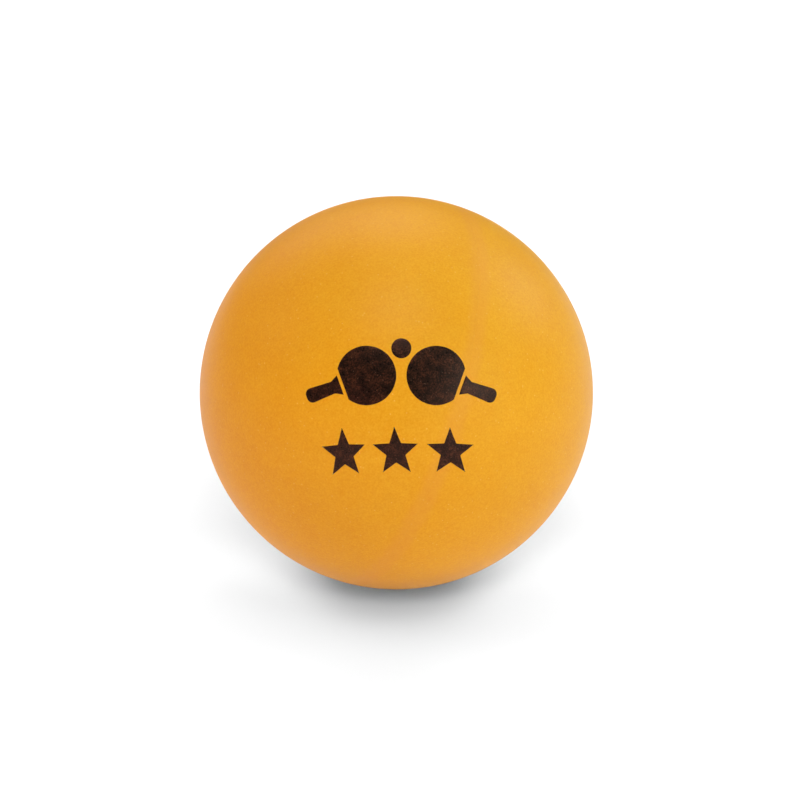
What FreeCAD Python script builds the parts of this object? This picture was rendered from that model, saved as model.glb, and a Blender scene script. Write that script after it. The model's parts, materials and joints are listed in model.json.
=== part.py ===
import FreeCAD, Part
import math
import os

# A seamed table tennis ball of 40 mm: two moulded half shells of matt orange plastic, closed by a cemented
# lap joint, with a pad-printed picture of two bats and a ball above three stars.
#
# Frame: the origin is the ball's centre and +Z is up. The print faces -Y and looks up at PRINT_ELEVATION,
# with +X to its right. The ball stands as it came to rest, so its seam plane leans: the seam axis points to
# the right, a little backwards and down. The left half carries the lip of the lap joint, and the right half
# the socket that the lip goes into. All sizes are in millimetres and degrees.

Vector = FreeCAD.Vector
ORIGIN = Vector(0, 0, 0)
RIGHT = Vector(1, 0, 0)
UP = Vector(0, 0, 1)

# The ball. The wall is the one that gives 2.7 g in a plastic of 1.05 g/cm3, seam included.
BALL_RADIUS = 20.0
WALL = 0.51
BALL_MASS_G = 2.7
PLASTIC_G_PER_CM3 = 1.05

# The lap joint, about its own axis, with the parting line of the outer skin at height 0.
SEAM_AZIMUTH = 12.7
SEAM_TILT = -20.7
SEAM_WALL = 0.80
LAP_DEPTH = 0.40
LAP_LENGTH = 0.80
LEFT_RIB_END = -0.75
RIGHT_RIB_LAND = 0.25
RIB_BLEND = 0.60
CEMENT = 0.03
CEMENT_BEAD = 0.12

# The print. Its places are on the flat plate that the pad picks the ink up from, u to the right and v up.
# The pad stretches the print a little as it rolls on, so each star is wider and lower than the one to its
# left, and it drags the print, so the stars lean to the left by STAR_LEAN of their height.
PRINT_ELEVATION = 20.0
INK = 0.03
STAR_HALF_WIDTH = 2.30
STAR_HALF_HEIGHT = 2.45
STAR_WAIST = 0.425
STAR_TURN = 0.8
TURN_STEP = -1.9
STAR_LEAN = 0.044
STAR_ROW_U = -0.05
STAR_ROW_V = -5.79
STAR_ROW_BOW = 0.09
STAR_ROW_RISE = 0.075
STAR_PITCH = 5.19
PITCH_STRETCH = 0.03
WIDTH_STRETCH = 0.036
HEIGHT_STRETCH = -0.02
EMBLEM_U = 0.50
EMBLEM_V = 1.15
BAT_SPREAD = 3.40
BAT_RISE = 0.50
BAT_TILT = 20.0
BLADE_RADIUS = 2.90
BLADE_CHORD = 2.42
PRINT_GAP = 0.30
NECK_HALF_WIDTH = 1.00
NECK_LENGTH = 0.75
GRIP_HALF_WIDTH = 0.60
GRIP_END_HALF_WIDTH = 0.76
GRIP_LENGTH = 3.50
GRIP_ROUNDING = 0.26
PRINTED_BALL_RADIUS = 0.98
PRINTED_BALL_RISE = 3.15

OUT = "parts"

# Worked out from the values above.
INNER_RADIUS = BALL_RADIUS - WALL
RIB_RADIUS = BALL_RADIUS - SEAM_WALL
LAP_RADIUS = BALL_RADIUS - LAP_DEPTH
HALF_CEMENT = CEMENT / 2
LIP_RADIUS = LAP_RADIUS - HALF_CEMENT
SOCKET_RADIUS = LAP_RADIUS + HALF_CEMENT
SOCKET_END = LAP_LENGTH + CEMENT


def on_sphere(radius, height):
    """The point of a meridian at this height: its distance from the seam axis, and the height."""
    return Vector(math.sqrt(radius * radius - height * height), 0, height)


def flat(radius, height):
    """A point of the joint's section: its distance from the seam axis, and the height along it."""
    return Vector(radius, 0, height)


def line(start, end):
    return Part.LineSegment(start, end).toShape()


def meridian(start, end):
    """The arc from start to end about the ball's centre, both in the joint's section."""
    radius = start.Length
    middle = (start + end).normalize() * radius
    return Part.Arc(start, middle, end).toShape()


def turned(edges):
    """The solid that a closed section sweeps about the seam axis, leaned as the ball rests."""
    face = Part.Face(Part.Wire(edges))
    solid = face.revolve(ORIGIN, UP, 360)
    azimuth = math.radians(SEAM_AZIMUTH)
    tilt = math.radians(SEAM_TILT)
    axis = Vector(math.cos(tilt) * math.cos(azimuth), math.cos(tilt) * math.sin(azimuth), math.sin(tilt))
    solid.Placement = FreeCAD.Placement(ORIGIN, FreeCAD.Rotation(UP, axis))
    return solid


def path(*points):
    """Straight edges through these points, in order."""
    return [line(a, b) for a, b in zip(points, points[1:])]


def left_half():
    """The half with the lip: an outer skin up to the parting line, and a lip of half the wall past it."""
    pole, edge = flat(0, -BALL_RADIUS), on_sphere(BALL_RADIUS, -HALF_CEMENT)
    wall = on_sphere(INNER_RADIUS, LEFT_RIB_END - RIB_BLEND)
    inner_pole = flat(0, -INNER_RADIUS)
    joint = path(
        edge,
        flat(LIP_RADIUS, -HALF_CEMENT),
        flat(LIP_RADIUS, LAP_LENGTH),
        flat(RIB_RADIUS, LAP_LENGTH),
        flat(RIB_RADIUS, LEFT_RIB_END),
        wall,
    )
    return turned([meridian(pole, edge), *joint, meridian(wall, inner_pole), line(inner_pole, pole)])


def right_half():
    """The half with the socket: its outer skin runs over the lip, and its rib meets the lip's end."""
    pole, edge = flat(0, BALL_RADIUS), on_sphere(BALL_RADIUS, HALF_CEMENT)
    rib_end = SOCKET_END + RIGHT_RIB_LAND
    wall = on_sphere(INNER_RADIUS, rib_end + RIB_BLEND)
    inner_pole = flat(0, INNER_RADIUS)
    joint = path(
        edge,
        flat(SOCKET_RADIUS, HALF_CEMENT),
        flat(SOCKET_RADIUS, SOCKET_END),
        flat(RIB_RADIUS, SOCKET_END),
        flat(RIB_RADIUS, rib_end),
        wall,
    )
    return turned([meridian(pole, edge), *joint, meridian(wall, inner_pole), line(inner_pole, pole)])


def cement():
    """The cement that fills the lap from the outer skin to the inside, where it squeezes out as a bead."""
    low, high = on_sphere(BALL_RADIUS, -HALF_CEMENT), on_sphere(BALL_RADIUS, HALF_CEMENT)
    middle = LAP_LENGTH + HALF_CEMENT
    bead_high, bead_low = flat(RIB_RADIUS, middle + CEMENT_BEAD), flat(RIB_RADIUS, middle - CEMENT_BEAD)
    bead = Part.Arc(bead_high, flat(RIB_RADIUS - CEMENT_BEAD, middle), bead_low).toShape()
    socket_side = path(
        high,
        flat(SOCKET_RADIUS, HALF_CEMENT),
        flat(SOCKET_RADIUS, SOCKET_END),
        flat(RIB_RADIUS, SOCKET_END),
        bead_high,
    )
    lip_side = path(
        bead_low,
        flat(RIB_RADIUS, LAP_LENGTH),
        flat(LIP_RADIUS, LAP_LENGTH),
        flat(LIP_RADIUS, -HALF_CEMENT),
        low,
    )
    return turned([meridian(low, high), *socket_side, bead, *lip_side])


def plate_point(u, v):
    return Vector(u, v, 0)


def ink(outlines, film):
    """The ink films that flat closed outlines leave on the ball, one solid for each."""
    solids = []
    for edges in outlines:
        prism = Part.Face(Part.Wire(edges)).extrude(UP * (BALL_RADIUS + 1))
        prism.rotate(ORIGIN, RIGHT, 90 - PRINT_ELEVATION)
        solids += prism.common(film).Solids
    return solids[0] if len(solids) == 1 else Part.makeCompound(solids)


def star(place):
    """The outline of the star at place -1, 0 or 1 of the row."""
    u = STAR_ROW_U + place * STAR_PITCH * (1 + place * PITCH_STRETCH)
    v = STAR_ROW_V + place * STAR_ROW_RISE - place * place * STAR_ROW_BOW
    wide = STAR_HALF_WIDTH * (1 + place * WIDTH_STRETCH)
    high = STAR_HALF_HEIGHT * (1 + place * HEIGHT_STRETCH)
    top = 90 + STAR_TURN + place * TURN_STEP
    corners = []
    for corner in range(10):
        angle = math.radians(top + 36 * corner)
        reach = STAR_WAIST if corner % 2 else 1.0
        rise = high * reach * math.sin(angle)
        corner_u = u + wide * reach * math.cos(angle) - STAR_LEAN * rise
        corners.append(plate_point(corner_u, v + rise))
    return path(*corners, corners[0])


def bat(side):
    """The outlines of one printed bat, blade and grip. side is -1 for the left one and 1 for the right."""
    tilt = math.radians(BAT_TILT)
    middle = plate_point(EMBLEM_U + side * BAT_SPREAD, EMBLEM_V + BAT_RISE)
    along = plate_point(side * math.cos(tilt), -math.sin(tilt))
    across = plate_point(-along.y, along.x)

    def at(reach, offset):
        return middle + along * reach + across * offset

    half_chord = math.sqrt(BLADE_RADIUS**2 - BLADE_CHORD**2)
    chord_start, chord_end = at(BLADE_CHORD, half_chord), at(BLADE_CHORD, -half_chord)
    blade = [Part.Arc(chord_start, at(-BLADE_RADIUS, 0), chord_end).toShape(), line(chord_end, chord_start)]

    neck = BLADE_CHORD + PRINT_GAP
    shoulder = neck + NECK_LENGTH
    end = neck + GRIP_LENGTH
    end_left, end_right = at(end, GRIP_END_HALF_WIDTH), at(end, -GRIP_END_HALF_WIDTH)
    grip = [
        *path(at(neck, -NECK_HALF_WIDTH), at(neck, NECK_HALF_WIDTH), at(shoulder, GRIP_HALF_WIDTH), end_left),
        Part.Arc(end_left, at(end + GRIP_ROUNDING, 0), end_right).toShape(),
        *path(end_right, at(shoulder, -GRIP_HALF_WIDTH), at(neck, -NECK_HALF_WIDTH)),
    ]
    return [blade, grip]


def printed_ball():
    middle = plate_point(EMBLEM_U, EMBLEM_V + PRINTED_BALL_RISE)
    return [Part.Circle(middle, UP, PRINTED_BALL_RADIUS).toShape()]


def main():
    film = Part.makeSphere(BALL_RADIUS + INK).cut(Part.makeSphere(BALL_RADIUS))
    shells = {"left_half_shell": left_half(), "right_half_shell": right_half(), "seam_cement": cement()}
    prints = {
        "bat_print_left": ink(bat(-1), film),
        "bat_print_right": ink(bat(1), film),
        "ball_print": ink([printed_ball()], film),
    }
    for place, name in zip((-1, 0, 1), ("left", "middle", "right")):
        prints["star_print_" + name] = ink([star(place)], film)

    os.makedirs(OUT, exist_ok=True)
    for name, shape in {**shells, **prints}.items():
        shape.exportStep(os.path.join(OUT, name + ".step"))
        state = "valid" if shape.isValid() else "NOT VALID"
        print(name, state, len(shape.Solids), "solids", round(shape.Volume, 3))

    plastic = sum(shape.Volume for shape in shells.values())
    print("shell mass", round(plastic / 1000 * PLASTIC_G_PER_CM3, 3), "g of", BALL_MASS_G)


main()
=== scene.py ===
"""The looks of a seamed 40 mm table tennis ball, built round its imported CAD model.

The ball is two half shells of matt orange plastic, the cement of the lap joint between them, and a pad print
of two bats and a ball over three stars. Everything is in metres, in the model's own frame: the origin is the
ball's centre, +Z is up, and the print faces -Y and looks up a little.
"""

import json
import logging
import math
from dataclasses import dataclass
from enum import Enum

import bmesh
import bpy
from bmesh.types import BMesh, BMVert
from mathutils import Color, Matrix, Vector, noise


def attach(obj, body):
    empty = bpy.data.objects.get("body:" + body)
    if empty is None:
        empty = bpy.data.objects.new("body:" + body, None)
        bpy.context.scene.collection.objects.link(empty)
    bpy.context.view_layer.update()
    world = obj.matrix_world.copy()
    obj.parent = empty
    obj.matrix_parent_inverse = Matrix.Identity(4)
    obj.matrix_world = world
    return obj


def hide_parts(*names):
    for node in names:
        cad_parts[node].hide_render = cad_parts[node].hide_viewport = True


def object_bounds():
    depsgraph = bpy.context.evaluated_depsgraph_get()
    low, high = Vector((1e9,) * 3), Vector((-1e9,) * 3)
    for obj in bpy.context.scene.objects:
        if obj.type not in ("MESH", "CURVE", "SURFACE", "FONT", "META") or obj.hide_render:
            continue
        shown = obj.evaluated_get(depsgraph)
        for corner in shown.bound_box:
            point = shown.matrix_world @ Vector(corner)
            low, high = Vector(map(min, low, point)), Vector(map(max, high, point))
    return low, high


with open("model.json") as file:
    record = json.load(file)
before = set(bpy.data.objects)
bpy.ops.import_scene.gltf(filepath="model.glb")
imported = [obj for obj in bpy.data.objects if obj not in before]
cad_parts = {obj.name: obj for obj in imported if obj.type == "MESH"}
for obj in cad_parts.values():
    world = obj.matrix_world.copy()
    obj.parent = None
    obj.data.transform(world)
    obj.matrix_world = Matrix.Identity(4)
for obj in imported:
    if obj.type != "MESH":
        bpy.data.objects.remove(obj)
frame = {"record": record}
CAD_BOX = [list(corner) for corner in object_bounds()]

MM = 0.001
ONE_POINT = 1e-7
ROUNDING = 1e-6
BODY = "root"
LOG = logging.getLogger("ball")

Colour = tuple[float, float, float, float]
Coat = Colour | bpy.types.NodeSocket
Triple = tuple[float, float, float]


class Slot(Enum):
    """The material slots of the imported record."""

    SHELL = "shell_plastic"
    CEMENT = "seam_cement"
    INK = "print_ink"


class Side(Enum):
    """A side of the ball or of its print, as seen from in front of the print."""

    LEFT = -1
    RIGHT = 1


class StarPlace(Enum):
    """A star's place in its row, counted from the middle."""

    LEFT = -1
    MIDDLE = 0
    RIGHT = 1


def paint(red: int, green: int, blue: int) -> Colour:
    """A colour as a shader takes it.

    Args:
        red: its red, from 0 to 255, as screens and colour cards give it.
        green: its green, in the same way.
        blue: its blue, in the same way.

    Returns:
        The linear colour, with full alpha.
    """
    screen = Color((red / 255, green / 255, blue / 255))
    return (*screen.from_srgb_to_scene_linear(), 1.0)


# Shaders


class Wire:
    """A number that varies over a surface: arithmetic on it adds Math nodes to its material."""

    def __init__(self, bench: "ShaderBench", socket: bpy.types.NodeSocket) -> None:
        """Wraps an output socket of a node on the bench."""
        self.bench = bench
        self.socket = socket

    def maths(self, operation: str, *values: "Wire | float") -> "Wire":
        """Adds one Math node.

        Args:
            operation: the node's operation, by Blender's name.
            *values: its inputs, in order.

        Returns:
            The node's result.
        """
        node = self.bench.node("ShaderNodeMath", {"operation": operation}, dict(enumerate(values)))
        return Wire(self.bench, node.outputs[0])

    def __add__(self, other: "Wire | float") -> "Wire":
        """self + other"""
        return self.maths("ADD", self, other)

    def __radd__(self, other: float) -> "Wire":
        """other + self"""
        return self.maths("ADD", other, self)

    def __sub__(self, other: "Wire | float") -> "Wire":
        """self - other"""
        return self.maths("SUBTRACT", self, other)

    def __rsub__(self, other: float) -> "Wire":
        """other - self"""
        return self.maths("SUBTRACT", other, self)

    def __mul__(self, other: "Wire | float") -> "Wire":
        """self * other"""
        return self.maths("MULTIPLY", self, other)

    def __rmul__(self, other: float) -> "Wire":
        """other * self"""
        return self.maths("MULTIPLY", other, self)

    def rise(self, low: float, high: float) -> "Wire":
        """A smooth step.

        Args:
            low: up to here the result is 0.
            high: from here on it is 1, with a soft curve between them.

        Returns:
            The step's value, from 0 to 1.
        """
        sockets = {"Value": self, "From Min": low, "From Max": high}
        node = self.bench.node("ShaderNodeMapRange", {"interpolation_type": "SMOOTHSTEP"}, sockets)
        return Wire(self.bench, node.outputs[0])


@dataclass(frozen=True)
class Marks:
    """Scattered small marks with soft edges, one at most for each place in a loose lattice.

    share is the share of the places that do have a mark, and full_share the share of those that are at full
    strength. full_core is how far out a mark keeps its full strength, as a share of its radius. A stretch
    below 1 makes the marks long that way.
    """

    spacing: float
    radius: float
    share: float
    turn: Triple
    strength: float
    stretch: Triple = (1, 1, 1)
    full_share: float = 0.6
    full_core: float = 0.3


class ShaderBench:
    """A new material and its node tree, with the patterns that this ball's finishes are made from."""

    def __init__(self, name: str) -> None:
        """Starts an empty material that reads the object's own coordinates.

        Args:
            name: the material's name.
        """
        self.material = bpy.data.materials.new(name)
        self.material.use_nodes = True
        self.tree = self.material.node_tree
        self.tree.nodes.clear()
        self.place = self.node("ShaderNodeTexCoord").outputs["Object"]

    def node(
        self,
        kind: str,
        settings: dict[str, object] | None = None,
        sockets: dict[int | str, object] | None = None,
    ) -> bpy.types.Node:
        """Adds a node of any kind.

        Args:
            kind: the node's Blender type.
            settings: its own properties, which are set first.
            sockets: a value, a socket or a Wire for each input, by the input's name or number.

        Returns:
            The new node.
        """
        node = self.tree.nodes.new(kind)
        for key, setting in (settings or {}).items():
            setattr(node, key, setting)
        for key, given in (sockets or {}).items():
            source = given.socket if isinstance(given, Wire) else given
            if isinstance(source, bpy.types.NodeSocket):
                self.tree.links.new(source, node.inputs[key])
            else:
                node.inputs[key].default_value = source
        return node

    def turned(self, turn: Triple, stretch: Triple = (1, 1, 1)) -> bpy.types.NodeSocket:
        """The object's coordinates, turned so that one pattern doesn't line up with another.

        Args:
            turn: the turn about X, Y and Z, in degrees.
            stretch: what each axis is then multiplied by, so below 1 makes marks long that way.

        Returns:
            The new coordinates.
        """
        angles = [math.radians(angle) for angle in turn]
        sockets = {"Vector": self.place, "Rotation": angles, "Scale": stretch}
        return self.node("ShaderNodeMapping", {}, sockets).outputs[0]

    def grain(self, size: float, turn: Triple = (0, 0, 0), detail: float = 2.0) -> Wire:
        """Soft random grain.

        Args:
            size: the length of one grain.
            turn: the turn of the pattern, in degrees.
            detail: how many finer layers it carries.

        Returns:
            A value that wanders about 0, nearly always between -0.4 and 0.4.
        """
        sockets = {"Vector": self.turned(turn), "Scale": 1 / size, "Detail": detail}
        return Wire(self, self.node("ShaderNodeTexNoise", {}, sockets).outputs[0]) - 0.5

    def specks(self, marks: Marks) -> Wire:
        """Scatters marks.

        Args:
            marks: their sizes and shares.

        Returns:
            1 on a full mark, 0 between the marks, and less than 1 on a faint one, whatever their strength.
        """
        sockets = {"Vector": self.turned(marks.turn, marks.stretch), "Scale": 1 / marks.spacing}
        cells = self.node("ShaderNodeTexVoronoi", {"feature": "F1"}, sockets)
        lot = self.node("ShaderNodeSeparateColor", {}, {"Color": cells.outputs["Color"]})
        reach = marks.radius / marks.spacing
        mark = 1 - Wire(self, cells.outputs["Distance"]).rise(marks.full_core * reach, reach)
        return mark * Wire(self, lot.outputs[0]).rise(1 - marks.share, 1 - marks.full_share * marks.share)

    def height(self, axis: Vector) -> Wire:
        """Measures along an axis.

        Args:
            axis: the direction to measure in, of length 1.

        Returns:
            How far a place is from the origin that way.
        """
        sockets = {0: self.place, 1: axis}
        node = self.node("ShaderNodeVectorMath", {"operation": "DOT_PRODUCT"}, sockets)
        return Wire(self, node.outputs["Value"])

    def blend(self, mask: Wire, under: Coat, over: Coat) -> bpy.types.NodeSocket:
        """The colour under, going over to the colour over where the mask is 1."""
        node = self.node("ShaderNodeMix", {"data_type": "RGBA"}, {0: mask, 6: under, 7: over})
        return node.outputs[2]

    def relief(self, height: Wire, depth: float) -> bpy.types.NodeSocket:
        """A normal for a relief.

        Args:
            height: the relief, where a difference of 1 is the whole depth.
            depth: how deep that is.

        Returns:
            The normal.
        """
        return self.node("ShaderNodeBump", {}, {"Height": height, "Distance": depth}).outputs[0]

    def finish(self, sockets: dict[int | str, object]) -> bpy.types.Material:
        """Closes the material.

        Args:
            sockets: the value, socket or Wire for each of the shader's inputs that isn't left as it is.

        Returns:
            The finished material.
        """
        shader = self.node("ShaderNodeBsdfPrincipled", {}, sockets)
        self.node("ShaderNodeOutputMaterial", {}, {"Surface": shader.outputs[0]})
        return self.material


@dataclass(frozen=True)
class LapJoint:
    """The ball's section at its seam: sizes across and along the seam's axis, from the parting line at 0."""

    ball_radius: float = frame["record"]["mounts"][1]["dims"]["r_mm"] * MM
    wall: float = 0.51 * MM
    seam_wall: float = 0.80 * MM
    lap_depth: float = 0.40 * MM
    lap_length: float = 0.80 * MM
    left_rib_end: float = -0.75 * MM
    right_rib_land: float = 0.25 * MM
    rib_blend: float = 0.60 * MM
    cement: float = 0.03 * MM
    cement_bead: float = 0.12 * MM
    edge_break: float = 0.01 * MM
    azimuth: float = 12.7
    tilt: float = -20.7

    @property
    def inner_radius(self) -> float:
        """The radius of the hollow."""
        return self.ball_radius - self.wall

    @property
    def rib_radius(self) -> float:
        """The radius of the hollow inside the thick seam."""
        return self.ball_radius - self.seam_wall

    @property
    def lip_radius(self) -> float:
        """The outside of the left half's lip."""
        return self.ball_radius - self.lap_depth - self.cement / 2

    @property
    def socket_radius(self) -> float:
        """The inside of the right half's socket."""
        return self.ball_radius - self.lap_depth + self.cement / 2

    @property
    def socket_end(self) -> float:
        """How deep the socket is."""
        return self.lap_length + self.cement

    @property
    def axis(self) -> Vector:
        """The direction of the seam's axis, from the left half to the right."""
        turn = Matrix.Rotation(math.radians(self.azimuth), 3, "Z")
        return turn @ Matrix.Rotation(-math.radians(self.tilt), 3, "Y") @ Vector((1, 0, 0))

    @property
    def lean(self) -> Matrix:
        """The turn that takes +Z to the seam's axis."""
        return Vector((0, 0, 1)).rotation_difference(self.axis).to_matrix()


JOINT = LapJoint()


@dataclass(frozen=True)
class MattPlastic:
    """What the ball's orange plastics share: hardly any gloss, and the pale bloom of a tumbled skin."""

    roughness: float = 0.5
    gloss: float = 0.14
    bloom: float = 0.05
    bloom_roughness: float = 0.4

    def finish(
        self, bench: ShaderBench, colour: Coat, rough: Wire, normal: bpy.types.NodeSocket
    ) -> bpy.types.Material:
        """Closes a material of this plastic.

        Args:
            bench: the material.
            colour: its colour.
            rough: what its patterns add to the roughness.
            normal: its relief.

        Returns:
            The finished material.
        """
        return bench.finish(
            {
                "Base Color": colour,
                "Roughness": self.roughness + rough,
                "Specular IOR Level": self.gloss,
                "Sheen Weight": self.bloom,
                "Sheen Roughness": self.bloom_roughness,
                "Normal": normal,
            }
        )


@dataclass(frozen=True)
class ShellFinish(MattPlastic):
    """Orange plastic, tumbled to a fine matt grain, with the marks that tumbling and handling leave."""

    deep: Colour = paint(225, 138, 4)
    pale: Colour = paint(237, 162, 31)
    scuff: Colour = paint(250, 200, 110)
    seam: Colour = paint(231, 145, 50)
    dirt: Colour = paint(140, 80, 36)

    fine_size: float = 0.20 * MM
    coarse_size: float = 0.60 * MM
    cloud_size: float = 4.0 * MM
    dots: Marks = Marks(0.55 * MM, 0.11 * MM, 0.5, (20, 50, 10), 0.30)
    scuffs: Marks = Marks(1.3 * MM, 0.09 * MM, 0.45, (70, 25, 40), 0.35, stretch=(1, 1, 0.35))
    grit: Marks = Marks(7.0 * MM, 0.16 * MM, 0.5, (35, 80, 5), 0.50)

    # How far each pattern takes the colour from deep to pale.
    fine_tone: float = 1.5
    coarse_tone: float = 0.35
    cloud_tone: float = 0.4

    # The relief, and how much each pattern adds to the roughness.
    relief_depth: float = 0.012 * MM
    coarse_relief: float = 0.5
    dot_relief: float = 0.15
    grit_relief: float = -0.2
    fine_rough: float = 0.12
    cloud_rough: float = 0.08
    scuff_rough: float = -0.06

    # The band over the seam: its strength, how soft its edges are, and how far and how quickly they wander.
    band: float = 0.34
    band_edge: float = 0.55 * MM
    band_sway: float = 0.8 * MM
    band_sway_size: float = 1.6 * MM

    def material(self) -> bpy.types.Material:
        """Puts the finish together.

        Returns:
            The material of both half shells.
        """
        bench = ShaderBench("orange_shell_plastic")
        fine = bench.grain(self.fine_size)
        coarse = bench.grain(self.coarse_size, (40, 10, 70))
        clouds = bench.grain(self.cloud_size, (15, 65, 30))
        dots = bench.specks(self.dots)
        scuffs = bench.specks(self.scuffs)
        grit = bench.specks(self.grit)

        tone = 0.5 + self.fine_tone * fine + self.coarse_tone * coarse + self.cloud_tone * clouds
        colour = bench.blend(tone, self.deep, self.pale)
        colour = bench.blend(self.dots.strength * dots, colour, self.scuff)
        colour = bench.blend(self.scuffs.strength * scuffs, colour, self.scuff)
        colour = bench.blend(self.band * self.seam_band(bench), colour, self.seam)
        colour = bench.blend(self.grit.strength * grit, colour, self.dirt)
        rough = self.fine_rough * fine + self.cloud_rough * clouds + self.scuff_rough * scuffs
        relief = fine + self.coarse_relief * coarse + self.dot_relief * dots + self.grit_relief * grit
        return self.finish(bench, colour, rough, bench.relief(relief, self.relief_depth))

    def seam_band(self, bench: ShaderBench) -> Wire:
        """The faint band where the doubled wall of the lap joint shows through.

        Args:
            bench: the material that it is for.

        Returns:
            Its strength, from 0 to 1.
        """
        height = bench.height(JOINT.axis) + self.band_sway * bench.grain(self.band_sway_size, (5, 35, 60))
        start, end = JOINT.left_rib_end, JOINT.socket_end + JOINT.right_rib_land
        soft = self.band_edge
        return height.rise(start - soft, start + soft) * (1 - height.rise(end - soft, end + soft))


@dataclass(frozen=True)
class CementFinish(MattPlastic):
    """Solvent cement with the shells' orange in it, buffed with the skin and hardly paler than it."""

    deep: Colour = paint(226, 142, 14)
    pale: Colour = paint(236, 158, 34)
    bead_size: float = 0.6 * MM
    fine_size: float = 0.1 * MM
    fine_tone: float = 0.6
    fine_rough: float = 0.2
    relief_depth: float = 0.01 * MM

    def material(self) -> bpy.types.Material:
        """Puts the finish together.

        Returns:
            The material of the cement in the seam.
        """
        bench = ShaderBench("orange_seam_cement")
        beads = bench.grain(self.bead_size)
        fine = bench.grain(self.fine_size, (30, 10, 50))
        colour = bench.blend(0.5 + beads + self.fine_tone * fine, self.deep, self.pale)
        relief = bench.relief(beads + fine, self.relief_depth)
        return self.finish(bench, colour, self.fine_rough * fine, relief)


@dataclass(frozen=True)
class InkFinish:
    """Brown-black pad ink: thin enough to mottle over the grain, and a little glossier than the plastic."""

    black: Colour = paint(20, 12, 8)
    brown: Colour = paint(86, 45, 28)
    # Pale specks on the ink: partly dust, and partly painted glints of sheen on the film.
    dust_and_glint: Colour = paint(160, 112, 88)
    rim: Colour = paint(112, 48, 24)
    bronze: Colour = (1.0, 0.44, 0.34, 1.0)
    roughness: float = 0.32
    gloss: float = 0.27

    fine_size: float = 0.16 * MM
    patch_size: float = 0.9 * MM
    patch_detail: float = 4.0
    # Small pits in the film, which also carry the pale specks: painted glints of sheen with some dust.
    pores_and_glints: Marks = Marks(0.30 * MM, 0.07 * MM, 0.35, (25, 45, 80), 0.25)

    # Where the film is thin enough for the brown to show, from the two grains added up.
    fine_thin: float = 1.2
    patch_thin: float = 0.9
    thin_from: float = -0.15
    thin_to: float = 0.55

    relief_depth: float = 0.026 * MM
    pore_relief: float = -0.4
    fine_rough: float = 0.25
    patch_rough: float = 0.1

    # The thin edge: its strength, and the heights over the ball, in millimetres, that it fades between.
    edge_strength: float = 0.7
    edge_low: float = 0.012
    edge_high: float = 0.027

    def material(self) -> bpy.types.Material:
        """Puts the finish together.

        Returns:
            The material of the whole print.
        """
        bench = ShaderBench("brown_black_print_ink")
        fine = bench.grain(self.fine_size)
        patches = bench.grain(self.patch_size, (60, 20, 35), self.patch_detail)
        pores_and_glints = bench.specks(self.pores_and_glints)
        thin = (self.fine_thin * fine + self.patch_thin * patches).rise(self.thin_from, self.thin_to)
        colour = bench.blend(thin, self.black, self.brown)
        # Painted glints: pale specks laid into the ink's colour, partly dust.
        colour = bench.blend(self.pores_and_glints.strength * pores_and_glints, colour, self.dust_and_glint)
        colour = bench.blend(self.edge_strength * self.edge(bench), colour, self.rim)
        return bench.finish(
            {
                "Base Color": colour,
                "Roughness": self.roughness + self.fine_rough * fine + self.patch_rough * patches,
                "Specular IOR Level": self.gloss,
                "Specular Tint": self.bronze,
                "Normal": bench.relief(fine + self.pore_relief * pores_and_glints, self.relief_depth),
            }
        )

    def edge(self, bench: ShaderBench) -> Wire:
        """The film's thin edge, where the plastic shows through.

        Args:
            bench: the material that it is for.

        Returns:
            Its strength, from 0 to 1.
        """
        node = bench.node("ShaderNodeVectorMath", {"operation": "LENGTH"}, {0: bench.place})
        height = (Wire(bench, node.outputs["Value"]) - JOINT.ball_radius) * (1 / MM)
        return 1 - height.rise(self.edge_low, self.edge_high)


# Pieces


@dataclass(frozen=True)
class Piece:
    """One finished piece: its name, the CAD node that it stands for, and its finish."""

    name: str
    node: str
    slot: Slot
    material: bpy.types.Material
    crease: float = 35.0

    def put(self, mesh: BMesh) -> bpy.types.Object:
        """Makes the piece out of a mesh that is already in place.

        Args:
            mesh: its faces, which are used up.

        Returns:
            The new object, riding on the ball in place of its CAD node.
        """
        bmesh.ops.recalc_face_normals(mesh, faces=mesh.faces[:])
        if mesh.calc_volume(signed=True) < 0:
            bmesh.ops.reverse_faces(mesh, faces=mesh.faces[:])
        volume = mesh.calc_volume() / MM**3
        for face in mesh.faces:
            face.smooth = True
        data = bpy.data.meshes.new(self.name)
        mesh.to_mesh(data)
        mesh.free()
        data.set_sharp_from_angle(angle=math.radians(self.crease))
        data.materials.append(self.material)
        piece = bpy.data.objects.new(self.name, data)
        bpy.data.collections[Lit.BALL.value].objects.link(piece)
        piece.visible_diffuse = False
        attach(piece, BODY)
        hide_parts(self.node)
        LOG.info("%s: %d faces, %.3f mm3, for %s", self.name, len(data.polygons), volume, self.node)
        return piece


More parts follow.
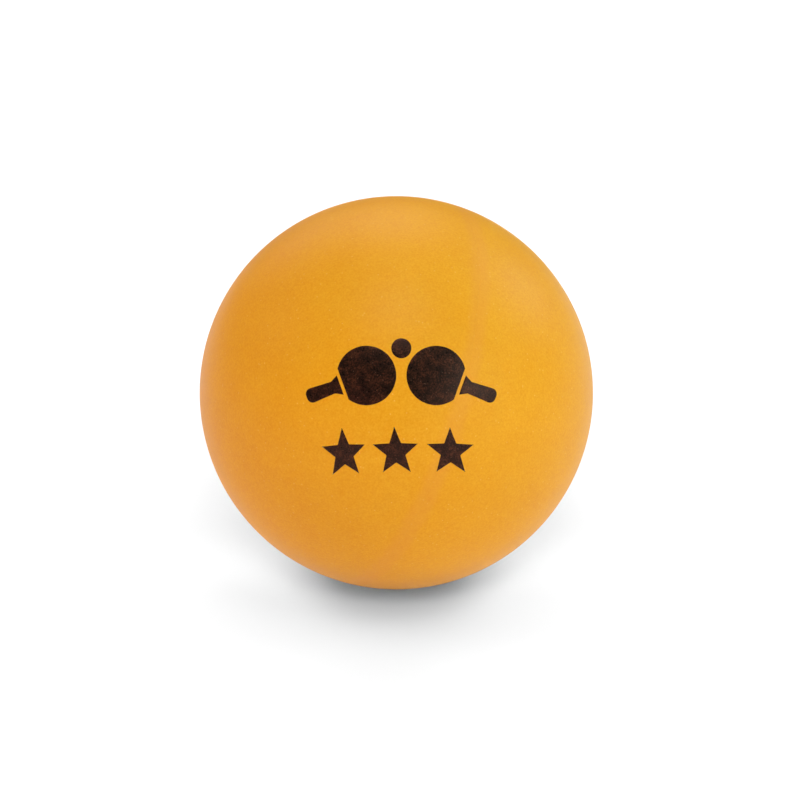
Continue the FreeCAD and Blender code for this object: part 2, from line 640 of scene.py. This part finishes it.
class Section:
    """A section drawn stroke by stroke in the XZ plane, and then turned about Z."""

    def __init__(self, radius: float, height: float) -> None:
        """Starts the section.

        Args:
            radius: how far its first point is from the axis.
            height: how far along the axis that point is.
        """
        self.mesh = bmesh.new()
        self.start = self.mesh.verts.new((radius, 0, height))
        self.tip = self.start

    def line(self, radius: float, height: float) -> None:
        """Draws a straight stroke to a point."""
        self.tip = bmesh.ops.extrude_vert_indiv(self.mesh, verts=[self.tip])["verts"][0]
        self.tip.co = (radius, 0, height)

    def arc(self, height: float, steps: int, centre: tuple[float, float] = (0, 0), side: int = 1) -> None:
        """Draws an arc to a height.

        Args:
            height: where the arc ends.
            steps: how many edges it has.
            centre: the distance from the axis and the height that it turns about.
            side: 1 for an arc that bulges away from the axis, or -1 for one that bulges towards it.
        """
        middle = Vector((centre[0], 0, centre[1]))
        arm = self.tip.co - middle
        turn = side * (self.rise_angle(height - middle.z, arm.length) - self.rise_angle(arm.z, arm.length))
        geometry = bmesh.ops.spin(
            self.mesh, geom=[self.tip], cent=middle, axis=(0, -1, 0), angle=turn, steps=steps
        )["geom_last"]
        self.tip = next(part for part in geometry if isinstance(part, BMVert))

    @staticmethod
    def rise_angle(rise: float, radius: float) -> float:
        """The angle at which a point on a circle is this high, exactly a quarter turn at its top."""
        share = rise / radius
        return math.asin(share) if abs(share) < 1 - ROUNDING else math.copysign(math.pi / 2, share)

    def close(self) -> None:
        """Draws a straight stroke back to the start."""
        self.mesh.edges.new((self.tip, self.start))

    def turn(self, steps: int, lean: Matrix) -> BMesh:
        """Turns the section all the way round.

        Args:
            steps: the number of steps round.
            lean: the turn that the whole is then given.

        Returns:
            The closed mesh.
        """
        bmesh.ops.spin(
            self.mesh,
            geom=self.mesh.verts[:] + self.mesh.edges[:],
            cent=(0, 0, 0),
            axis=(0, 0, 1),
            angle=math.tau,
            steps=steps,
            use_merge=True,
        )
        bmesh.ops.remove_doubles(self.mesh, verts=self.mesh.verts[:], dist=ONE_POINT)
        bmesh.ops.rotate(self.mesh, verts=self.mesh.verts[:], cent=(0, 0, 0), matrix=lean)
        return self.mesh


@dataclass(frozen=True)
class Shells:
    """The two half shells and the cement between them, turned about the seam's axis."""

    joint: LapJoint = JOINT
    shell_finish: ShellFinish = ShellFinish()
    cement_finish: CementFinish = CementFinish()
    steps_round: int = 320
    outer_steps: int = 96
    inner_steps: int = 44
    bead_steps: int = 16

    def build(self) -> None:
        """Makes the three pieces."""
        plastic = self.shell_finish.material()
        cement = self.cement_finish.material()
        Piece("shell_left", "left_half_shell", Slot.SHELL, plastic).put(self.half(Side.LEFT))
        Piece("shell_right", "right_half_shell", Slot.SHELL, plastic).put(self.half(Side.RIGHT))
        Piece("cement_ring", "seam_cement", Slot.CEMENT, cement).put(self.cement_ring())

    def skin_edge(self, inset: float) -> tuple[float, float]:
        """Where a half's outer skin ends.

        Args:
            inset: how far the edge is broken, which is also how far it is from the cement.

        Returns:
            Its distance from the axis, and its height.
        """
        height = self.joint.cement / 2 + inset
        return math.sqrt(self.joint.ball_radius**2 - height**2), height

    def half(self, side: Side) -> BMesh:
        """Makes a half shell, from its outer pole round the joint to its inner pole.

        Args:
            side: the left half, with the lip, or the right one, with the socket.

        Returns:
            Its mesh.
        """
        joint = self.joint
        way = side.value
        section = Section(0, way * joint.ball_radius)
        section.arc(way * self.skin_edge(joint.edge_break)[1], self.outer_steps)
        section.line(joint.ball_radius - joint.edge_break, way * joint.cement / 2)
        if side is Side.LEFT:
            section.line(joint.lip_radius, -joint.cement / 2)
            section.line(joint.lip_radius, joint.lap_length - joint.edge_break)
            section.line(joint.lip_radius - joint.edge_break, joint.lap_length)
            section.line(joint.rib_radius, joint.lap_length)
            rib_end = joint.left_rib_end
        else:
            section.line(joint.socket_radius, joint.cement / 2)
            section.line(joint.socket_radius, joint.socket_end)
            section.line(joint.rib_radius, joint.socket_end)
            rib_end = joint.socket_end + joint.right_rib_land
        section.line(joint.rib_radius, rib_end)
        wall_start = rib_end + way * joint.rib_blend
        section.line(math.sqrt(joint.inner_radius**2 - wall_start**2), wall_start)
        section.arc(way * joint.inner_radius, self.inner_steps)
        return section.turn(self.steps_round, joint.lean)

    def cement_ring(self) -> BMesh:
        """Makes the cement: a stepped film from the skin to the hollow, with a bead squeezed out inside.

        Returns:
            Its mesh.
        """
        joint = self.joint
        half = joint.cement / 2
        skin = joint.ball_radius - joint.edge_break / 2
        middle = joint.lap_length + half
        section = Section(skin, half)
        section.line(joint.socket_radius, half)
        section.line(joint.socket_radius, joint.socket_end)
        section.line(joint.rib_radius, joint.socket_end)
        section.line(joint.rib_radius, middle + joint.cement_bead)
        section.arc(middle - joint.cement_bead, self.bead_steps, (joint.rib_radius, middle), side=-1)
        section.line(joint.rib_radius, joint.lap_length)
        section.line(joint.lip_radius, joint.lap_length)
        section.line(joint.lip_radius, -half)
        section.line(skin, -half)
        section.close()
        return section.turn(self.steps_round, joint.lean)


def round_corners(shape: BMesh, corners: list[BMVert], offset: float, segments: int = 3) -> None:
    """Rounds the corners of a flat shape.

    Args:
        shape: the shape, which is changed.
        corners: the corners to round.
        offset: how far from the corner the rounding starts.
        segments: how many edges it has.
    """
    bmesh.ops.bevel(
        shape, geom=corners, offset=offset, affect="VERTICES", segments=segments, profile=0.5, material=-1
    )


@dataclass(frozen=True)
class PrintPlate:
    """The plate of the pad print. Its plane has u to the right and v up, and looks up at its elevation.

    The film's edge is rounded in steps: it starts at edge_start of the film's thickness, and each step goes
    in by a share of soft_edge and up by a share of the thickness. The outline wobbles as ink does on grain.
    """

    ball_radius: float = JOINT.ball_radius
    elevation: float = 20.0
    film: float = 0.03 * MM
    root: float = 0.005 * MM
    soft_edge: float = 0.05 * MM
    edge_start: float = 0.3
    edge_steps: tuple[tuple[float, float], ...] = ((0.4, 0.45), (0.6, 0.25))
    pitch: float = 0.2 * MM
    wobble: float = 0.012 * MM
    wobble_size: float = 0.35 * MM
    wobble_seed: int = 1
    merge: float = 0.001 * MM

    def ink(self, shapes: list[BMesh]) -> BMesh:
        """Prints flat shapes on the ball.

        Args:
            shapes: flat meshes of one face each in the plate's plane, which are used up.

        Returns:
            One mesh with a closed film of ink for each shape.
        """
        noise.seed_set(self.wobble_seed)
        sheet = bmesh.new()
        for shape in shapes:
            self.thicken(shape)
            piece = bpy.data.meshes.new("film")
            shape.to_mesh(piece)
            shape.free()
            sheet.from_mesh(piece)
            bpy.data.meshes.remove(piece)
        turn = Matrix.Rotation(math.radians(90 - self.elevation), 3, "X")
        for vert in sheet.verts:
            u, v, height = vert.co
            depth = math.sqrt(self.ball_radius**2 - u**2 - v**2)
            vert.co = turn @ Vector((u, v, depth)) * (1 + height / self.ball_radius)
        return sheet

    def thicken(self, shape: BMesh) -> None:
        """Gives a flat shape the film's thickness and soft edges, and cuts it finely enough to bend.

        Args:
            shape: a flat mesh of one face, which is changed.
        """
        bmesh.ops.translate(shape, verts=shape.verts[:], vec=(0, 0, self.edge_start * self.film))
        for share, rise in self.edge_steps:
            bmesh.ops.inset_region(
                shape,
                faces=[max(shape.faces, key=lambda face: face.calc_area())],
                thickness=share * self.soft_edge,
                depth=rise * self.film,
                use_boundary=True,
                use_even_offset=True,
            )
        for direction in (Vector((1, 0, 0)), Vector((0, 1, 0))):
            reach = [vert.co.dot(direction) for vert in shape.verts]
            first, last = math.ceil(min(reach) / self.pitch), math.floor(max(reach) / self.pitch)
            for line in range(first, last + 1):
                parts = shape.verts[:] + shape.edges[:] + shape.faces[:]
                cut = direction * (line * self.pitch)
                bmesh.ops.bisect_plane(shape, geom=parts, dist=self.merge, plane_co=cut, plane_no=direction)
        bmesh.ops.remove_doubles(shape, verts=shape.verts[:], dist=self.merge)
        for vert in shape.verts:
            sway = noise.noise_vector(vert.co / self.wobble_size)
            vert.co.x += self.wobble * sway.x
            vert.co.y += self.wobble * sway.y
        top = shape.faces[:]
        lifted = bmesh.ops.extrude_face_region(shape, geom=top, use_keep_orig=True)["geom"]
        raised = {part for part in lifted if isinstance(part, BMVert)}
        for vert in shape.verts:
            if vert not in raised:
                vert.co.z = -self.root


@dataclass(frozen=True)
class Stars:
    """The row of three stars, stretched by the pad: each is wider and lower than the one to its left."""

    finish: bpy.types.Material
    plate: PrintPlate = PrintPlate()
    half_width: float = 2.30 * MM
    half_height: float = 2.45 * MM
    waist: float = 0.425
    turn: float = 0.8
    turn_step: float = -1.9
    lean: float = 0.044
    row_u: float = -0.05 * MM
    row_v: float = -5.79 * MM
    row_bow: float = 0.09 * MM
    row_rise: float = 0.075 * MM
    pitch: float = 5.19 * MM
    pitch_stretch: float = 0.03
    width_stretch: float = 0.036
    height_stretch: float = -0.02
    tip_break: float = 0.07 * MM

    def build(self) -> None:
        """Makes the three stars."""
        for place in StarPlace:
            name = place.name.lower()
            piece = Piece(f"ink_star_{name}", f"star_print_{name}", Slot.INK, self.finish)
            piece.put(self.plate.ink([self.star(place)]))

    def star(self, place: StarPlace) -> BMesh:
        """Draws one star.

        Args:
            place: its place in the row.

        Returns:
            Its flat shape, with the tips a little rounded.
        """
        step = place.value
        shape = bmesh.new()
        corners = bmesh.ops.create_circle(shape, cap_ends=True, segments=10, radius=1)["verts"]
        bmesh.ops.scale(shape, vec=(self.waist, self.waist, 1), verts=corners[1::2])
        turn = Matrix.Rotation(math.radians(self.turn + step * self.turn_step), 4, "Z")
        wide = self.half_width * (1 + step * self.width_stretch)
        high = self.half_height * (1 + step * self.height_stretch)
        size = Matrix.Diagonal((wide, high, 1, 1))
        drag = Matrix.Shear("XZ", 4, (-self.lean, 0))
        u = self.row_u + step * self.pitch * (1 + step * self.pitch_stretch)
        v = self.row_v + step * self.row_rise - step**2 * self.row_bow
        bmesh.ops.transform(shape, matrix=Matrix.Translation((u, v, 0)) @ drag @ size @ turn, verts=corners)
        round_corners(shape, corners, self.tip_break)
        return shape


@dataclass(frozen=True)
class Emblem:
    """The picture over the stars: two bats leaning out from a ball."""

    finish: bpy.types.Material
    plate: PrintPlate = PrintPlate()
    u: float = 0.50 * MM
    v: float = 1.15 * MM
    bat_spread: float = 3.40 * MM
    bat_rise: float = 0.50 * MM
    bat_tilt: float = 20.0
    blade_radius: float = 2.90 * MM
    blade_chord: float = 2.42 * MM
    gap: float = 0.30 * MM
    neck_half_width: float = 1.00 * MM
    neck_length: float = 0.75 * MM
    grip_half_width: float = 0.60 * MM
    grip_end_half_width: float = 0.76 * MM
    grip_length: float = 3.50 * MM
    ball_radius: float = 0.98 * MM
    ball_rise: float = 3.15 * MM
    corner_break: float = 0.15 * MM
    grip_end_round: float = 0.608 * MM
    grip_end_steps: int = 6
    round_steps: int = 96

    def build(self) -> None:
        """Makes the two bats and the ball."""
        for side in Side:
            name = side.name.lower()
            shapes = [self.blade(), self.grip()]
            for shape in shapes:
                bmesh.ops.transform(shape, matrix=self.bat_place(side), verts=shape.verts[:])
            piece = Piece(f"ink_bat_{name}", f"bat_print_{name}", Slot.INK, self.finish)
            piece.put(self.plate.ink(shapes))
        Piece("ink_ball", "ball_print", Slot.INK, self.finish).put(self.plate.ink([self.ball()]))

    def bat_place(self, side: Side) -> Matrix:
        """Places a bat that is drawn with its handle along +X from the blade's centre.

        Args:
            side: which of the two bats it is.

        Returns:
            Its turn and its move on the plate.
        """
        middle = Matrix.Translation((self.u + side.value * self.bat_spread, self.v + self.bat_rise, 0))
        lean = -self.bat_tilt if side is Side.RIGHT else 180 + self.bat_tilt
        return middle @ Matrix.Rotation(math.radians(lean), 4, "Z")

    def blade(self) -> BMesh:
        """Draws a blade: a disc cut off straight where the handle starts.

        Returns:
            Its flat shape.
        """
        shape = bmesh.new()
        bmesh.ops.create_circle(shape, cap_ends=True, segments=self.round_steps, radius=self.blade_radius)
        parts = shape.verts[:] + shape.edges[:] + shape.faces[:]
        cut = (self.blade_chord, 0, 0)
        bmesh.ops.bisect_plane(shape, geom=parts, plane_co=cut, plane_no=(1, 0, 0), clear_outer=True)
        corners = [vert for vert in shape.verts if vert.co.x > self.blade_chord - ONE_POINT]
        round_corners(shape, corners, self.corner_break)
        return shape

    def grip(self) -> BMesh:
        """Draws a handle: its flared neck, and a grip that widens to a round end.

        Returns:
            Its flat shape.
        """
        neck = self.blade_chord + self.gap
        shape = bmesh.new()
        ends = [shape.verts.new((neck, way * self.neck_half_width, 0)) for way in (-1, 1)]
        edge = shape.edges.new(ends)
        stations = (
            (neck + self.neck_length, self.grip_half_width),
            (neck + self.grip_length, self.grip_end_half_width),
        )
        for reach, half_width in stations:
            parts = bmesh.ops.extrude_edge_only(shape, edges=[edge])["geom"]
            ends = sorted((part for part in parts if isinstance(part, BMVert)), key=lambda vert: vert.co.y)
            for way, vert in zip((-1, 1), ends):
                vert.co = (reach, way * half_width, 0)
            edge = shape.edges.get(ends)
        bmesh.ops.dissolve_faces(shape, faces=shape.faces[:])
        round_corners(shape, ends, self.grip_end_round, self.grip_end_steps)
        return shape

    def ball(self) -> BMesh:
        """Draws the printed ball.

        Returns:
            Its flat shape, already in its place.
        """
        shape = bmesh.new()
        verts = bmesh.ops.create_circle(
            shape, cap_ends=True, segments=self.round_steps // 2, radius=self.ball_radius
        )["verts"]
        bmesh.ops.translate(shape, verts=verts, vec=(self.u, self.v + self.ball_rise, 0))
        return shape


# The studio


class Lit(Enum):
    """What a lamp lights: the ball and the table have lamps of their own, as in a product studio."""

    BALL = "lit_by_ball_lamps"
    TABLE = "lit_by_table_lamps"


@dataclass(frozen=True)
class Softbox:
    """A square lamp that faces the ball, in watts, metres and degrees.

    Azimuth 0 is the print's side, and it grows towards +X. red and blue tint the light, with green as 1.
    """

    name: str
    lit: Lit
    azimuth: float
    elevation: float
    power: float
    red: float = 1.0
    blue: float = 1.0
    distance: float = 0.8
    size: float = 0.36

    def hang(self) -> None:
        """Hangs the lamp, out of the camera's sight, over the things that it lights."""
        lamp = bpy.data.lights.new(self.name, "AREA")
        lamp.shape = "SQUARE"
        lamp.size = self.size
        lamp.energy = self.power
        lamp.color = (self.red, 1, self.blue)
        lamp.cycles.use_multiple_importance_sampling = False
        holder = bpy.data.objects.new(self.name, lamp)
        holder.visible_camera = False
        holder.light_linking.receiver_collection = bpy.data.collections[self.lit.value]
        turn = Matrix.Rotation(math.radians(self.azimuth), 4, "Z")
        turn = turn @ Matrix.Rotation(math.radians(90 - self.elevation), 4, "X")
        holder.matrix_world = turn @ Matrix.Translation((0, 0, self.distance))
        bpy.context.scene.collection.objects.link(holder)


@dataclass(frozen=True)
class Studio:
    """A white table under soft lamps, and a camera that looks down at the print."""

    table_size: float = 0.9
    table_white: float = 0.9
    softboxes: tuple[Softbox, ...] = (
        Softbox("key_right", Lit.BALL, 53, 21, 2.20, red=0.66),
        Softbox("low_right", Lit.BALL, 34, 4, 1.12, red=0.73),
        Softbox("fill_left", Lit.BALL, -30, 5, 0.25, red=2.16),
        Softbox("side_left", Lit.BALL, -90, 30, 1.38, red=1.16, blue=0.8),
        Softbox("back_left", Lit.BALL, -150, 30, 0.85),
        Softbox("back_right", Lit.BALL, 120, 30, 2.14, red=0.83, blue=1.3),
        Softbox("back", Lit.BALL, 180, 48, 1.54, red=0.94, blue=1.15),
        Softbox("top", Lit.BALL, 0, 68, 3.95, red=0.87),
        Softbox("table_front_low", Lit.TABLE, 0, 5, 7.93),
        Softbox("table_front", Lit.TABLE, 0, 30, 4.68),
        Softbox("table_back", Lit.TABLE, 180, 16, 2.54),
        Softbox("table_back_left", Lit.TABLE, -150, 16, 3.26),
        Softbox("table_back_right", Lit.TABLE, 150, 16, 4.12),
        Softbox("table_left", Lit.TABLE, -90, 48, 1.35),
        Softbox("table_front_left", Lit.TABLE, -45, 48, 0.68),
        Softbox("table_front_right", Lit.TABLE, 45, 48, 1.32),
        Softbox("table_right", Lit.TABLE, 90, 48, 1.16),
    )
    camera_elevation: float = 20.0
    camera_distance: float = 0.45
    view_width: float = 81.42 * MM
    aim_right: float = 0.37 * MM
    aim_down: float = 0.74 * MM
    sensor: float = 36.0
    nearest: float = 0.01
    farthest: float = 20.0

    def build(self) -> None:
        """Sets up the table, the lamps, the white room behind them and the camera."""
        self.lay_table()
        for softbox in self.softboxes:
            softbox.hang()
        self.paint_room()
        self.set_camera()
        bpy.context.scene.view_settings.view_transform = "Standard"

    def lay_table(self) -> None:
        """Lays the table under the ball's lowest point."""
        mesh = bmesh.new()
        bmesh.ops.create_grid(mesh, x_segments=1, y_segments=1, size=self.table_size / 2)
        bmesh.ops.translate(mesh, verts=mesh.verts[:], vec=(0, 0, CAD_BOX[0][2]))
        data = bpy.data.meshes.new("table_top")
        mesh.to_mesh(data)
        mesh.free()
        white = (self.table_white,) * 3 + (1.0,)
        sockets = {"Base Color": white, "Roughness": 1.0, "Specular IOR Level": 0.0}
        data.materials.append(ShaderBench("white_table_top").finish(sockets))
        table = bpy.data.objects.new("table_top", data)
        bpy.data.collections[Lit.TABLE.value].objects.link(table)

    def paint_room(self) -> None:
        """Makes the room white where the camera looks past the table, with no light of its own."""
        room = bpy.data.worlds.new("white_room")
        room.use_nodes = True
        room.node_tree.nodes["Background"].inputs["Color"].default_value = (1, 1, 1, 1)
        room.cycles_visibility.diffuse = False
        room.cycles_visibility.glossy = False
        bpy.context.scene.world = room

    def set_camera(self) -> None:
        """Puts the camera on the line of sight, a little to the right of the ball's centre and below it."""
        data = bpy.data.cameras.new("camera")
        data.sensor_width = self.sensor
        data.lens = self.sensor * self.camera_distance / self.view_width
        data.clip_start = self.nearest
        data.clip_end = self.farthest
        camera = bpy.data.objects.new("camera", data)
        turn = Matrix.Rotation(math.radians(90 - self.camera_elevation), 4, "X")
        place = Matrix.Translation((self.aim_right, -self.aim_down, self.camera_distance))
        camera.matrix_world = turn @ place
        bpy.context.scene.collection.objects.link(camera)
        bpy.context.scene.camera = camera


def start_collections() -> None:
    """Makes the collections of the things that the ball's lamps light and that the table's lamps light."""
    for lit in Lit:
        group = bpy.data.collections.new(lit.value)
        bpy.context.scene.collection.children.link(group)


def main() -> None:
    """Builds the ball's sub-assemblies and the studio round them."""
    logging.basicConfig(level=logging.INFO, format="%(name)s: %(message)s")
    start_collections()
    Studio().build()
    Shells().build()
    ink = InkFinish().material()
    Emblem(ink).build()
    Stars(ink).build()


if __name__ == "__main__":
    main()
